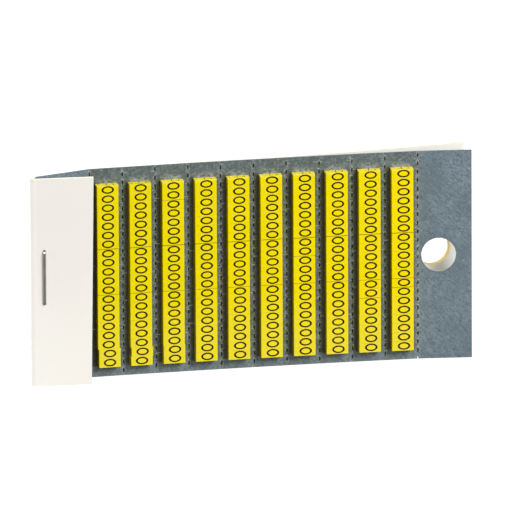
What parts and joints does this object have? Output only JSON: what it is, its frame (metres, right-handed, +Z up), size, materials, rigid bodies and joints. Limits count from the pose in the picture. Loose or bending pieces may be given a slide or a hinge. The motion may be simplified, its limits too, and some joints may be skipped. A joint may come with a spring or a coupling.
{
  "type": "cable marker booklet",
  "caption": "Stapled card booklet of clip-on cable markers: strips of yellow numbered markers on a perforated grey card, in a folded cream cover with a hang hole.",
  "frame": {"origin": "middle of the booklet's box in plan, on the surface that it stands on", "axes": "+X along the booklet from the stapled end to the hang hole, +Y from the markers to the back, +Z up"},
  "size_m": [0.1086, 0.0106, 0.052],
  "materials": {
    "cover_card": "matt coated card, cream",
    "backing_card": "matt grey-blue board with visible fibres",
    "marker_plastic": "soft yellow plastic, satin",
    "staple_wire": "plain steel wire"
  },
  "bodies": {
    "root": {"cover": "cover_card", "staple": "staple_wire", "marker_card": "backing_card", "marker_strip_01": "marker_plastic", "marker_strip_02": "marker_plastic", "marker_strip_03": "marker_plastic", "marker_strip_04": "marker_plastic", "marker_strip_05": "marker_plastic", "marker_strip_06": "marker_plastic", "marker_strip_07": "marker_plastic", "marker_strip_08": "marker_plastic", "marker_strip_09": "marker_plastic", "marker_strip_10": "marker_plastic"}
  },
  "joints": []
}
